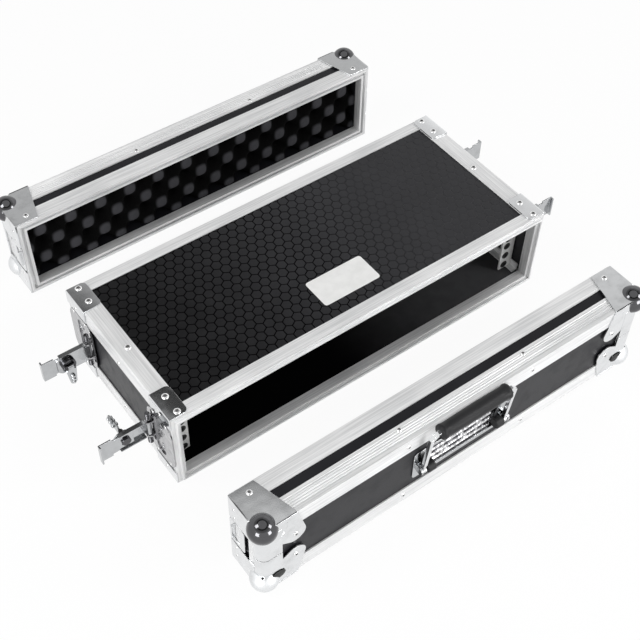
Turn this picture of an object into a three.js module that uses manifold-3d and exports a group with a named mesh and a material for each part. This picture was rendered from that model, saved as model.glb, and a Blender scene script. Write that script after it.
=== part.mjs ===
// Two-unit 19 inch rack case, built like a flight case: laminated panels held in aluminium
// extrusions, two lids that lift away, four butterfly latches and a sprung carrying handle.
// Millimetres, +Z up. X runs along the case and Y from the front lid to the rear lid.
// The lids stand apart from the body and the latches are swung open.
import * as THREE from 'three';
import { mergeVertices } from 'three/addons/utils/BufferGeometryUtils.js';
import Module from 'manifold-3d';

const wasm = await Module();
wasm.setup();

// Driving sizes of the case, over the extrusions
const caseWidth = 512;
const caseHeight = 111;
const bodyDepth = 218;
const lidDepth = 54;
const frontGap = 104;

// Stock that the case is made of
const panel = 7;
const sheet = 1.5;
const angleLeg = 22;
const innerLeg = 8;
const closingFlange = 15;
const lidFlange = 20;
const innerFlange = 12;
const closingWeb = 2;

// Clearances
const fit = 0.3;
const closedGap = 0.3;
const overrun = 5;

// Tongue on the body's closing extrusion and groove in the lid's
const tongueFrom = 4.2;
const tongueWidth = 2.4;
const tongueHeight = 4;
const tongueTip = 0.7;
const groovePlay = 0.6;
const grooveFloor = 1.3;

// Rounding of the extrusions
const angleRound = 2;
const lidEdgeRound = 9;
const fluteCount = 5;
const fluteDepth = 0.6;
const flutePitch = 2.8;
const fluteFromEdge = 4.6;

// Ball corners
const ballRadius = 15.5;
const ballProud = 5;
const ballSeatReach = 7;
const cornerSheet = 1.5;
const cornerTopNear = 28;
const cornerTopFar = 42;
const cornerUnderStrike = 1.5;
const cornerColumn = 24;
const cornerColumnWrap = 11;
const cornerEarX = 39;
const cornerEarZ = 35.5;
const cornerEarRadius = 13;
const cornerInset = 1.5;

// Corner braces on the body
const braceSheet = 1.5;
const braceLong = 41;
const braceTop = 22;
const braceDown = 16;
const braceRound = 6;
const braceInset = 0.8;

// Rack rails. The case's width and height give the 19 inch hole spacing of 465.1 and the
// rack unit of 44.45 between them, and the holes stand at shares of the unit.
const railHoleInset = 12.55;
const railEndPlay = 0.45;
const railFlange = 20;
const railDeep = 18;
const railSheet = 2;
const railSetBack = 26;
const railHoleRadius = 3.4;
const rackUnits = 2;
const firstHoleShare = 0.142857;

// Latches: hinge place, dish and arm
const hingeInset = 44;
const hingeOut = 5.2;
const pinRadius = 1.6;
const pinPlay = 0.35;
const barrelRadius = 3.2;
const barrelHalf = 10;
const earSheet = 2.5;
const earRadius = 4.1;
const dishSheet = 1.2;
const dishBehind = 6.5;
const dishUnderBrace = 2.5;
const dishRound = 15;
const dishEdge = 1;
const panBehind = 6;
const panAhead = 26.5;
const dishRim = 6;
const panRound = 9;
const armLength = 40;
const armHalf = 13;
const armSheet = 1.6;
const armRoot = 4.7;
const armLip = 3.8;
const armChamfer = 4;

// Latches: hook, cam and wing
const hookSheet = 1.6;
const hookTravel = 4;
const hookTail = 9;
const tipHalf = 14;
const tipSheet = 1.8;
const tipReach = 4.2;
const camAt = 28;
const bossRadius = 8.5;
const bossHeight = 4;
const shaftRadius = 3.5;
const crankRadius = 2.2;
const slotPlay = 0.7;
const headRadius = 5.2;
const headSheet = 2.2;
const foldOut = 2.6;
const foldPinRadius = 0.9;
const wingBarrel = 2.2;
const wingBarrelHalf = 3.5;
const cheekSheet = 1.8;
const wingLength = 28;
const wingSheet = 2;
const wingRootHalf = 6;
const wingTipHalf = 4;

// Latches: strike on the lid
const strikeHalf = 20;
const strikeLong = 27;
const strikeRound = 5;
const lipAt = 6.4;
const lipSheet = 2.4;
const lipHalf = 11.5;
const lipTop = 4.2;
const slotLong = 8.2;
const slotHalf = 14.8;

// Carrying handle on the front lid
const handleDishHalf = 66;
const handleDishOver = 10;
const handleDishUnder = 13;
const handleDishRound = 5;
const handleSheet = 1.2;
const handlePanDeep = 5;
const handlePanInset = 8;
const handlePanFoot = 5;
const handlePanTop = 4;
const pivotHigh = 16;
const pivotStandoff = 4.4;
const bailInset = 8;
const bailBar = 4.5;
const bailDeep = 5;
const bailReach = 64;
const bailEye = 4.2;
const bailPin = 2;
const bailCorner = 7;
const gripStandoff = 10.5;
const gripRadius = 9;
const gripInset = 12;
const lugSheet = 3;
const lugRadius = 4.8;

// Egg-crate foam in the lids
const foamBase = 12;
const foamPeak = 32;
const bumpsAlong = 12;
const bumpsUp = 2;
const stepsPerBump = 4;

// Number of sides on turned pieces
const turnedSides = 16;
const pinSides = 12;

// Places worked out from the sizes above
const slot = panel + 2 * fit;
const frameBand = 2 * sheet + slot;
const halfWidth = caseWidth / 2;
const halfDepth = bodyDepth / 2;
const baseHeight = ballProud;
const ballInset = ballRadius - ballProud;
const skinDepth = sheet + fit;
const panelInner = skinDepth + panel;
const grooveDepth = tongueHeight + closedGap + groovePlay;
const lidWeb = grooveDepth + grooveFloor;
const cornerEndHigh = caseHeight / 2 - strikeHalf - cornerUnderStrike;
const rackUnit = (caseHeight - 2 * (frameBand + railEndPlay)) / rackUnits;
const dishHalf = caseHeight / 2 - braceDown - dishUnderBrace;
const panHalf = dishHalf - dishRim;
const handleDishLow = angleLeg + handleDishOver;
const handleDishHigh = caseHeight - angleLeg - handleDishUnder;
const bailHalf = handleDishHalf - bailInset;
const handlePanHalf = bailHalf - handlePanInset;
const handlePanLow = handleDishLow + handlePanFoot;
const handlePanHigh = handleDishHigh - handlePanTop;
const handlePivotZ = handleDishLow + pivotHigh;
const handleTilt = Math.asin((gripStandoff - pivotStandoff) / bailReach);
const handleReach = gripStandoff + gripRadius;
const rearGap = frontGap + handleReach - ballProud;

// Finishes
const finishes = {
  laminate: { color: 0x1b1c1f, roughness: 0.5, metalness: 0 },
  aluminium: { color: 0xd2d4d6, roughness: 0.35, metalness: 0.9 },
  chrome: { color: 0xc9cbcd, roughness: 0.14, metalness: 1 },
  zinc: { color: 0xb9bcbe, roughness: 0.4, metalness: 0.9 },
  rubber: { color: 0x232326, roughness: 0.7, metalness: 0 },
  foam: { color: 0x26272a, roughness: 0.95, metalness: 0 },
};

const rackCase = new THREE.Group();

// Solid work: three.js makes each form, and joins and cuts are done on closed solids

function welded(geometry) {
  const bare = geometry.clone();
  bare.deleteAttribute('normal');
  bare.deleteAttribute('uv');
  return mergeVertices(bare);
}

function toSolid(geometry) {
  const merged = welded(geometry);
  const vertProperties = new Float32Array(merged.attributes.position.array);
  const triVerts = new Uint32Array(merged.index.array);
  return new wasm.Manifold(new wasm.Mesh({ numProp: 3, vertProperties, triVerts }));
}

function toGeometry(solid) {
  const mesh = solid.getMesh();
  const geometry = new THREE.BufferGeometry();
  geometry.setAttribute('position', new THREE.BufferAttribute(new Float32Array(mesh.vertProperties), 3));
  geometry.setIndex(new THREE.BufferAttribute(new Uint32Array(mesh.triVerts), 1));
  return geometry;
}

function join(...geometries) {
  const solids = geometries.map(toSolid);
  return toGeometry(solids.reduce((whole, next) => whole.add(next)));
}

function cut(geometry, ...tools) {
  const solids = tools.map(toSolid);
  return toGeometry(solids.reduce((whole, next) => whole.subtract(next), toSolid(geometry)));
}

function common(geometry, tool) {
  return toGeometry(toSolid(geometry).intersect(toSolid(tool)));
}

function block([x0, x1], [y0, y1], [z0, z1]) {
  const box = new THREE.BoxGeometry(x1 - x0, y1 - y0, z1 - z0);
  return box.translate((x0 + x1) / 2, (y0 + y1) / 2, (z0 + z1) / 2);
}

// A turned rod along an axis. The centre is given on the other two axes, in the order x, y, z.
function rod(axis, radius, [from, to], [c1, c2] = [0, 0], sides = turnedSides) {
  const bar = new THREE.CylinderGeometry(radius, radius, to - from, sides);
  const middle = (from + to) / 2;
  if (axis === 'x') return bar.rotateZ(-Math.PI / 2).translate(middle, c1, c2);
  if (axis === 'y') return bar.translate(c1, middle, c2);
  return bar.rotateX(Math.PI / 2).translate(c1, c2, middle);
}

// An outline carried straight along an axis. Outline points are (y, z), (x, z) or (x, y).
function prism(axis, outline, [from, to]) {
  const turned = axis === 'y' ? outline.map(([x, z]) => [z, x]) : outline;
  const shape = new THREE.Shape(turned.map(([u, v]) => new THREE.Vector2(u, v)));
  const form = new THREE.ExtrudeGeometry(shape, { depth: to - from, bevelEnabled: false });
  form.translate(0, 0, from);
  const x = new THREE.Vector3(1, 0, 0);
  const y = new THREE.Vector3(0, 1, 0);
  const z = new THREE.Vector3(0, 0, 1);
  if (axis === 'x') form.applyMatrix4(new THREE.Matrix4().makeBasis(y, z, x));
  if (axis === 'y') form.applyMatrix4(new THREE.Matrix4().makeBasis(z, x, y));
  return form;
}

function arc([cu, cv], radius, fromDeg, toDeg, steps) {
  return Array.from({ length: steps + 1 }, (_, i) => {
    const angle = THREE.MathUtils.degToRad(fromDeg + ((toDeg - fromDeg) * i) / steps);
    return [cu + radius * Math.cos(angle), cv + radius * Math.sin(angle)];
  });
}

function roundedBox([u0, u1], [v0, v1], radius, steps = 4) {
  return [
    ...arc([u1 - radius, v0 + radius], radius, -90, 0, steps),
    ...arc([u1 - radius, v1 - radius], radius, 0, 90, steps),
    ...arc([u0 + radius, v1 - radius], radius, 90, 180, steps),
    ...arc([u0 + radius, v0 + radius], radius, 180, 270, steps),
  ];
}

// The mirror image of a form across the plane through zero, with its faces kept pointing out
function mirrored(geometry, axis) {
  const image = welded(geometry);
  const sign = { x: [-1, 1, 1], y: [1, -1, 1], z: [1, 1, -1] }[axis];
  image.scale(...sign);
  const index = image.index.array;
  for (let i = 0; i < index.length; i += 3) {
    const second = index[i + 1];
    index[i + 1] = index[i + 2];
    index[i + 2] = second;
  }
  return image;
}

function piece(parent, name, geometry, finish) {
  const mesh = new THREE.Mesh(geometry, new THREE.MeshStandardMaterial(finishes[finish]));
  mesh.name = name;
  parent.add(mesh);
  return mesh;
}

// A section of inset and depth carried round the case's outline, mitred at its four corners.
// Depth is measured along Y, and the centre of the outline lies at zero in X and Z.
function mitredRing(section) {
  const corners = [[1, -1], [1, 1], [-1, 1], [-1, -1]];
  const halfHeight = caseHeight / 2;
  const points = corners.flatMap(([sx, sz]) =>
    section.flatMap(([inset, depth]) => [sx * (halfWidth - inset), depth, sz * (halfHeight - inset)]));
  const count = section.length;
  const index = [];
  for (let side = 0; side < corners.length; side++) {
    const here = side * count;
    const next = ((side + 1) % corners.length) * count;
    for (let i = 0; i < count; i++) {
      const j = (i + 1) % count;
      index.push(here + i, here + j, next + j, here + i, next + j, next + i);
    }
  }
  const ring = new THREE.BufferGeometry();
  ring.setAttribute('position', new THREE.Float32BufferAttribute(points, 3));
  ring.setIndex(index);
  return ring;
}

// Body: closing extrusions. The tongue stands out past the closing plane at depth zero.
function bodyClosingFrame() {
  const tongueTo = tongueFrom + tongueWidth;
  return mitredRing([
    [0, 0],
    [0, closingFlange],
    [sheet, closingFlange],
    [sheet, closingWeb],
    [sheet + slot, closingWeb],
    [sheet + slot, innerFlange],
    [frameBand, innerFlange],
    [frameBand, 0],
    [tongueTo, 0],
    [tongueTo, tongueTip - tongueHeight],
    [tongueTo - tongueTip, -tongueHeight],
    [tongueFrom + tongueTip, -tongueHeight],
    [tongueFrom, tongueTip - tongueHeight],
    [tongueFrom, 0],
  ]);
}

// Body: a double angle with its corner square left hollow, and a brace over each end of it.
// It is drawn for the top right edge, with the outline's corner at the case's corner.
function braceOutline(across, skin) {
  const [near, far] = [halfDepth - braceLong, halfDepth - braceInset];
  return [
    [halfWidth + skin, far],
    [halfWidth + skin, near],
    ...arc([halfWidth - across + braceRound, near + braceRound], braceRound, 270, 180, 4),
    ...arc([halfWidth - across + braceRound, far - braceRound], braceRound, 180, 90, 4),
  ];
}

function brace() {
  const skin = fit + braceSheet;
  const top = prism('z', braceOutline(braceTop, skin), [caseHeight + fit, caseHeight + skin]);
  const low = caseHeight - braceDown;
  const ends = [halfDepth - braceLong, halfDepth - braceInset];
  const down = block([halfWidth + fit, halfWidth + skin], ends, [low, caseHeight + skin]);
  const seatEnds = [halfDepth - braceLong, halfDepth - closingFlange - fit];
  const seatTop = block(
    [halfWidth - braceTop + braceRound, halfWidth],
    seatEnds,
    [caseHeight - sheet / 2, caseHeight + fit + sheet / 2]);
  const seatSide = block(
    [halfWidth - sheet / 2, halfWidth + fit + sheet / 2], seatEnds, [low, caseHeight - angleRound]);
  return join(top, down, seatTop, seatSide);
}

function edgeAngle() {
  const corner = sheet + slot;
  const section = [
    ...arc([angleRound, angleRound], angleRound, 180, 270, 3),
    [angleLeg, 0],
    [angleLeg, sheet],
    [frameBand, sheet],
    [frameBand, corner],
    [frameBand + innerLeg, corner],
    [frameBand + innerLeg, frameBand],
    [frameBand, frameBand],
    [frameBand, frameBand + innerLeg],
    [corner, frameBand + innerLeg],
    [corner, frameBand],
    [sheet, frameBand],
    [sheet, angleLeg],
    [0, angleLeg],
  ].map(([u, v]) => [halfWidth - u, caseHeight - v]);
  const reach = halfDepth - closingFlange - fit;
  const length = prism('y', section, [-reach, reach]);
  const hollowX = [halfWidth - corner, halfWidth - sheet];
  const hollowZ = [caseHeight - corner, caseHeight - sheet];
  const hollow = block(hollowX, [-reach - overrun, reach + overrun], hollowZ);
  const end = brace();
  return join(cut(length, hollow), end, mirrored(end, 'y'));
}

// Body: a rack rail, drawn for the right end of the front opening
function railHoleHeights() {
  const units = Array.from({ length: rackUnits }, (_, unit) => unit * rackUnit);
  const fromEnd = firstHoleShare * rackUnit;
  return units.flatMap((z) => [z + fromEnd, z + rackUnit / 2, z + rackUnit - fromEnd]);
}

function rackRail() {
  const outer = halfWidth - frameBand - fit;
  const front = railSetBack - halfDepth;
  const low = frameBand + railEndPlay;
  const high = caseHeight - low;
  const flange = block([outer - railFlange, outer], [front, front + railSheet], [low, high]);
  const leg = block([outer - railSheet, outer], [front, front + railDeep], [low, high]);
  const holeEnds = [front - overrun, front + railSheet + overrun];
  const holes = railHoleHeights().map((z) =>
    rod('y', railHoleRadius, holeEnds, [outer - railHoleInset, low + z], pinSides));
  return cut(join(flange, leg), ...holes);
}

// Latch pieces are drawn closed, from the hinge axis: x out of the case's end, y to the lid
const coverIn = barrelRadius - armSheet;
const hookOut = coverIn - fit;
const hookIn = hookOut - hookSheet;
const headOut = hookIn - fit;
const headIn = headOut - headSheet;
const hookHalf = armHalf - armSheet - fit;
const crank = hookTravel / 2;
const bossIn = barrelRadius + fit;
const bossOut = bossIn + bossHeight;

function latchDish() {
  const [rimIn, rimOut] = [fit - hingeOut, fit + dishSheet - hingeOut];
  const panFloor = rimIn - sheet;
  const reach = hingeInset - dishEdge;
  const outline = roundedBox([-dishBehind, reach], [-dishHalf, dishHalf], dishRound);
  const rim = prism('x', outline, [rimIn, rimOut]);
  const pan = roundedBox([panBehind, panAhead], [-panHalf, panHalf], panRound);
  const wall = dishSheet;
  const panInside = roundedBox(
    [panBehind + wall, panAhead - wall], [-panHalf + wall, panHalf - wall], panRound - wall);
  const sunk = join(rim, prism('x', pan, [panFloor, rimOut]));
  const dish = cut(sunk, prism('x', panInside, [panFloor + dishSheet, rimOut + overrun]));
  const earFrom = barrelHalf + fit;
  const ears = [earFrom, -earFrom - earSheet].flatMap((z) => [
    rod('z', earRadius, [z, z + earSheet]),
    block([rimIn + dishSheet / 2, 0], [-earRadius, earRadius], [z, z + earSheet]),
  ]);
  const pin = rod('z', pinRadius, [-earFrom - earSheet, earFrom + earSheet], [0, 0], pinSides);
  return join(dish, ...ears, pin);
}

function latchArm() {
  const end = armHalf - armChamfer;
  const outline = [
    [0, -barrelHalf],
    [armRoot, -barrelHalf],
    [armRoot, -armHalf],
    [armLength - armChamfer, -armHalf],
    [armLength, -end],
    [armLength, end],
    [armLength - armChamfer, armHalf],
    [armRoot, armHalf],
    [armRoot, barrelHalf],
    [0, barrelHalf],
  ];
  const cover = prism('x', outline, [coverIn, barrelRadius]);
  const lipSpan = [armRoot, armLength - armChamfer];
  const lips = [armHalf - armSheet, -armHalf].map((z) =>
    block([coverIn - armLip, barrelRadius - armSheet / 2], lipSpan, [z, z + armSheet]));
  const barrel = rod('z', barrelRadius, [-barrelHalf, barrelHalf]);
  const boreEnds = [-barrelHalf - overrun, barrelHalf + overrun];
  const bore = rod('z', pinRadius + pinPlay, boreEnds, [0, 0], pinSides);
  const shaftHole = rod('x', shaftRadius + fit, [coverIn - overrun, barrelRadius + overrun], [camAt, 0]);
  return cut(join(cover, ...lips, barrel), bore, shaftHole);
}

// The hook is drawn pushed out to the end of its travel
const tipFrom = hingeInset + closedGap + lipAt + lipSheet + fit + hookTravel;

function latchHook() {
  const shoulder = armLength + hookTravel + fit;
  const outline = [
    [camAt - hookTail, -hookHalf],
    [shoulder, -hookHalf],
    [shoulder, -tipHalf],
    [tipFrom + tipSheet, -tipHalf],
    [tipFrom + tipSheet, tipHalf],
    [shoulder, tipHalf],
    [shoulder, hookHalf],
    [camAt - hookTail, hookHalf],
  ];
  const plate = prism('x', outline, [hookIn, hookOut]);
  const tip = block([-tipReach, hookOut], [tipFrom, tipFrom + tipSheet], [-tipHalf, tipHalf]);
  const halfLong = crankRadius + slotPlay;
  const halfHigh = crank + crankRadius + slotPlay;
  const at = camAt + crank;
  const crankSlot = block(
    [hookIn - overrun, hookOut + overrun],
    [at - halfLong, at + halfLong],
    [-halfHigh, halfHigh]);
  return cut(join(plate, tip), crankSlot);
}

// The cam's crank pushes the hook out when its wing points at the lid
function latchCam() {
  const shaftEnd = coverIn - fit / 2;
  const boss = rod('x', bossRadius, [bossIn, bossOut]);
  const shaft = rod('x', shaftRadius, [shaftEnd, bossIn + bossHeight / 2]);
  const crankEnds = [headOut - headSheet / 2, shaftEnd + fit / 3];
  const crankPin = rod('x', crankRadius, crankEnds, [crank, 0], pinSides);
  const head = rod('x', headRadius, [headIn, headOut]);
  const foldAt = bossOut + foldOut;
  const cheekFrom = wingBarrelHalf + fit;
  const cheeks = [cheekFrom, -cheekFrom - cheekSheet].flatMap((z) => [
    rod('z', foldOut, [z, z + cheekSheet], [foldAt, 0], pinSides),
    block([bossOut - bossHeight / 2, foldAt], [-foldOut, foldOut], [z, z + cheekSheet]),
  ]);
  const pinEnds = [-cheekFrom - cheekSheet, cheekFrom + cheekSheet];
  const foldPin = rod('z', foldPinRadius, pinEnds, [foldAt, 0], pinSides);
  return join(boss, shaft, crankPin, head, ...cheeks, foldPin);
}

// The wing is drawn folded flat, pointing at the lid, from its fold axis
function latchWing() {
  const wide = foldOut + 2 * fit;
  const flare = wide + wingSheet;
  const tipCentre = wingLength - wingTipHalf;
  const outline = [
    [0, -wingBarrelHalf],
    [wide, -wingBarrelHalf],
    [flare, -wingRootHalf],
    ...arc([tipCentre, 0], wingTipHalf, -80, 80, 6),
    [flare, wingRootHalf],
    [wide, wingBarrelHalf],
    [0, wingBarrelHalf],
  ];
  const blade = prism('x', outline, [-wingSheet / 2, wingSheet / 2]);
  const barrel = rod('z', wingBarrel, [-wingBarrelHalf, wingBarrelHalf], [0, 0], pinSides);
  const boreEnds = [-wingBarrelHalf - overrun, wingBarrelHalf + overrun];
  return cut(join(blade, barrel), rod('z', foldPinRadius + fit, boreEnds, [0, 0], pinSides));
}

// Lid pieces are drawn with the closing plane at y zero, the outer face at y lidDepth,
// and z from the lid's underside.

// The lid's outer form, taken in by an inset, with its two outer upright edges rounded
function lidForm(inset, yFrom = 0) {
  const radius = lidEdgeRound - inset;
  const [side, outer] = [halfWidth - inset, lidDepth - inset];
  const outline = [
    [-side, yFrom],
    [side, yFrom],
    ...arc([side - radius, outer - radius], radius, 0, 90, 5),
    ...arc([radius - side, outer - radius], radius, 90, 180, 5),
  ];
  return prism('z', outline, [inset, caseHeight - inset]);
}

// What lies past the slanting cut at a lid's right upper outer corner, under the ball. A form
// that stands proud of the lid is cut further out, so that all end at the same place on an edge.
function pastCorner(proud) {
  const past = (2 * (ballInset + proud) - ballSeatReach) / Math.sqrt(3);
  const size = 4 * ballRadius;
  const form = block([past, past + size], [-size, size], [-size, size]);
  const diagonal = new THREE.Vector3(1, 1, 1).normalize();
  form.applyQuaternion(new THREE.Quaternion().setFromUnitVectors(new THREE.Vector3(1, 0, 0), diagonal));
  return form.translate(halfWidth - ballInset, lidDepth - ballInset, caseHeight - ballInset);
}

// A lid form with its four outer corners cut off, as room for the ball corners
function withoutCorners(geometry) {
  const right = pastCorner(0);
  const upper = [right, mirrored(right, 'x')];
  const lower = upper.map((corner) => mirrored(corner, 'z').translate(0, 0, caseHeight));
  return cut(geometry, ...upper, ...lower);
}

function lidClosingFrame() {
  const grooveFrom = tongueFrom - groovePlay;
  const grooveTo = tongueFrom + tongueWidth + groovePlay;
  const ring = mitredRing([
    [0, 0],
    [0, lidFlange],
    [sheet, lidFlange],
    [sheet, lidWeb],
    [sheet + slot, lidWeb],
    [sheet + slot, innerFlange],
    [frameBand, innerFlange],
    [frameBand, 0],
    [grooveTo, 0],
    [grooveTo, grooveDepth],
    [grooveFrom, grooveDepth],
    [grooveFrom, 0],
  ]);
  return ring.translate(0, 0, caseHeight / 2);
}

// A V-shaped groove along the case, cut down from a face at height z
function flute(y, z) {
  const half = 2 * fluteDepth;
  const outline = [[y, z - fluteDepth], [y + half, z + fluteDepth], [y - half, z + fluteDepth]];
  return prism('x', outline, [-halfWidth - overrun, halfWidth + overrun]);
}

function lidOuterFrame() {
  const behind = lidDepth - angleLeg;
  const inside = lidForm(sheet, -overrun);
  const wide = [-halfWidth - overrun, halfWidth + overrun];
  const rest = block(wide, [-overrun, behind], [-overrun, caseHeight + overrun]);
  const window = block(
    [angleLeg - halfWidth, halfWidth - angleLeg],
    [lidDepth - sheet - overrun, lidDepth + overrun],
    [angleLeg, caseHeight - angleLeg]);
  const flutes = Array.from({ length: fluteCount }, (_, i) => behind + fluteFromEdge + i * flutePitch);
  const top = flutes.map((y) => flute(y, caseHeight));
  const bottom = flutes.map((y) => mirrored(flute(y, 0), 'z'));
  return withoutCorners(cut(lidForm(0), inside, rest, window, ...top, ...bottom));
}

function lidWalls() {
  const back = lidDepth + overrun;
  const side = halfWidth - panelInner;
  const bore = block([-side, side], [-overrun, back], [panelInner, caseHeight - panelInner]);
  return withoutCorners(cut(lidForm(skinDepth, lidWeb + fit), bore));
}

const faceFrom = lidDepth - skinDepth - panel;

function lidFacePanel(hasHandle) {
  const side = halfWidth - panelInner - fit;
  const height = [panelInner + fit, caseHeight - panelInner - fit];
  const face = block([-side, side], [faceFrom, lidDepth - skinDepth], height);
  if (!hasHandle) return face;
  const wall = handleSheet + fit;
  const cutOut = block(
    [-handlePanHalf - wall, handlePanHalf + wall],
    [faceFrom - overrun, lidDepth],
    [handlePanLow - wall, handlePanHigh + wall]);
  return cut(face, cutOut);
}

// Convoluted foam: staggered bumps, high where the waves along and up the sheet agree
function lidFoam() {
  const side = halfWidth - frameBand - fit;
  const [low, high] = [frameBand + fit, caseHeight - frameBand - fit];
  const [nx, nz] = [bumpsAlong * stepsPerBump, bumpsUp * stepsPerBump];
  const points = [];
  for (let j = 0; j <= nz; j++) {
    for (let i = 0; i <= nx; i++) {
      const [along, up] = [i, j].map((k) => Math.cos((2 * Math.PI * k) / stepsPerBump));
      const thick = foamBase + (foamPeak - foamBase) * (1 + along * up) / 2;
      points.push(-side + (2 * side * i) / nx, faceFrom - fit - thick, low + ((high - low) * j) / nz);
    }
  }
  const at = (i, j) => j * (nx + 1) + i;
  const index = [];
  for (let j = 0; j < nz; j++) {
    for (let i = 0; i < nx; i++) {
      index.push(at(i, j), at(i + 1, j), at(i + 1, j + 1), at(i, j), at(i + 1, j + 1), at(i, j + 1));
    }
  }
  const rim = [];
  for (let i = 0; i < nx; i++) rim.push(at(i, 0));
  for (let j = 0; j < nz; j++) rim.push(at(nx, j));
  for (let i = nx; i > 0; i--) rim.push(at(i, nz));
  for (let j = nz; j > 0; j--) rim.push(at(0, j));
  const front = points.length / 3;
  rim.forEach((p) => points.push(points[3 * p], faceFrom - fit, points[3 * p + 2]));
  rim.forEach((p, k) => {
    const next = (k + 1) % rim.length;
    index.push(p, front + k, front + next, p, front + next, rim[next]);
  });
  const outline = rim.map((p) => new THREE.Vector2(points[3 * p], points[3 * p + 2]));
  THREE.ShapeUtils.triangulateShape(outline, []).forEach(([a, b, c]) => {
    index.push(front + a, front + c, front + b);
  });
  const foam = new THREE.BufferGeometry();
  foam.setAttribute('position', new THREE.Float32BufferAttribute(points, 3));
  foam.setIndex(index);
  return foam;
}

// A ball corner, drawn for the right upper outer corner of a lid
function ballCorner() {
  const skin = fit + cornerSheet;
  const shell = cut(lidForm(-skin, cornerInset), lidForm(-fit, -overrun));
  const [out, above] = [halfWidth + overrun, caseHeight + overrun];
  const far = lidDepth + overrun;
  const topOutline = [
    [out, cornerInset - overrun],
    [out, far],
    [halfWidth - cornerTopFar, far],
    [halfWidth - cornerTopFar, lidDepth],
    [halfWidth - cornerTopNear, cornerInset],
    [halfWidth - cornerTopNear, cornerInset - overrun],
  ];
  const top = prism('z', topOutline, [caseHeight + fit / 2, above]);
  const end = block([halfWidth + fit / 2, out], [-overrun, far], [caseHeight - cornerEndHigh, above]);
  const column = block(
    [halfWidth - cornerColumn, out],
    [lidDepth - cornerColumnWrap, far],
    [caseHeight / 2 + fit / 2, above]);
  const earCentre = [halfWidth - cornerEarX, caseHeight - cornerEarZ];
  const earOutline = [
    [halfWidth - cornerColumn / 2, above],
    [earCentre[0] - cornerEarRadius / 4, above],
    ...arc(earCentre, cornerEarRadius, 150, 280, 7),
    [halfWidth - cornerColumn / 2, earCentre[1] - cornerEarRadius],
  ];
  const ear = prism('y', earOutline, [lidDepth + fit / 2, far]);
  const plates = common(shell, join(top, end, column, ear));
  const ball = new THREE.SphereGeometry(ballRadius, turnedSides, turnedSides / 2).rotateX(Math.PI / 2);
  ball.translate(halfWidth - ballInset, lidDepth - ballInset, caseHeight - ballInset);
  const under = cut(lidForm(-fit, -overrun), pastCorner(fit));
  return join(cut(plates, pastCorner(skin)), cut(ball, under));
}

// A strike plate, drawn for a right hand end: x out of the end face, y from the closing plane
function strikePlate() {
  const [inside, outside] = [fit, fit + dishSheet];
  const outline = roundedBox([dishEdge, strikeLong], [-strikeHalf, strikeHalf], strikeRound);
  const plate = prism('x', outline, [inside, outside]);
  const lipEnd = lipAt + lipSheet;
  const lip = block([outside - dishSheet / 2, lipTop], [lipAt, lipEnd], [-lipHalf, lipHalf]);
  const slotSpan = [lipEnd, lipEnd + slotLong];
  const hookSlot = block([-overrun, outside + overrun], slotSpan, [-slotHalf, slotHalf]);
  return cut(join(plate, lip), hookSlot);
}

// Handle pieces stand on the front lid's face
const handleSeat = lidDepth - skinDepth + fit;

function handleDish() {
  const [inside, outside] = [handleSeat, handleSeat + handleSheet];
  const across = [-handleDishHalf, handleDishHalf];
  const outline = roundedBox(across, [handleDishLow, handleDishHigh], handleDishRound);
  const plate = prism('y', outline, [inside, outside]);
  const wall = handleSheet;
  const floor = outside - handleSheet - handlePanDeep;
  const pan = block(
    [-handlePanHalf - wall, handlePanHalf + wall],
    [floor, outside],
    [handlePanLow - wall, handlePanHigh + wall]);
  const hollow = block(
    [-handlePanHalf, handlePanHalf],
    [floor + wall, outside + overrun],
    [handlePanLow, handlePanHigh]);
  const pivot = [lidDepth + pivotStandoff, handlePivotZ];
  const lugFrom = bailHalf + fit;
  const lugs = [lugFrom, -lugFrom - lugSheet].flatMap((x) => [
    rod('x', lugRadius, [x, x + lugSheet], pivot),
    block(
      [x, x + lugSheet],
      [inside + handleSheet / 2, pivot[0]],
      [pivot[1] - lugRadius, pivot[1] + lugRadius]),
  ]);
  const pinLong = lugSheet + bailBar + fit + pinPlay;
  const pins = [bailHalf - bailBar - pinPlay, -lugFrom - lugSheet].map((x) =>
    rod('x', bailPin, [x, x + pinLong], pivot, pinSides));
  return join(cut(join(plate, pan), hollow), ...lugs, ...pins);
}

// The bail is drawn standing straight up from its pivot axis
function handleBail() {
  const inner = bailHalf - bailBar;
  const top = bailReach + bailBar / 2;
  const under = bailReach - bailBar / 2;
  const outline = [
    [-bailHalf, 0],
    [-bailHalf, top - bailCorner],
    [bailCorner - bailHalf, top],
    [bailHalf - bailCorner, top],
    [bailHalf, top - bailCorner],
    [bailHalf, 0],
    [inner, 0],
    [inner, under - bailCorner + bailBar / 2],
    [inner - bailCorner + bailBar / 2, under],
    [bailCorner - bailBar / 2 - inner, under],
    [-inner, under - bailCorner + bailBar / 2],
    [-inner, 0],
  ];
  const bar = prism('y', outline, [-bailDeep / 2, bailDeep / 2]);
  const arms = [[inner, bailHalf], [-bailHalf, -inner]];
  const eyes = arms.map((span) => rod('x', bailEye, span));
  const holes = arms.map(([from, to]) =>
    rod('x', bailPin + pinPlay, [from - overrun, to + overrun], [0, 0], pinSides));
  return cut(join(bar, ...eyes), ...holes);
}

function handleGrip() {
  const gripHalf = bailHalf - gripInset;
  const tube = rod('x', gripRadius, [-gripHalf, gripHalf], [0, bailReach]);
  const halfBar = bailBar / 2 + fit;
  const bore = block(
    [-gripHalf - overrun, gripHalf + overrun],
    [-bailDeep / 2 - fit, bailDeep / 2 + fit],
    [bailReach - halfBar, bailReach + halfBar]);
  return cut(tube, bore);
}

// Assembly

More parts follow.
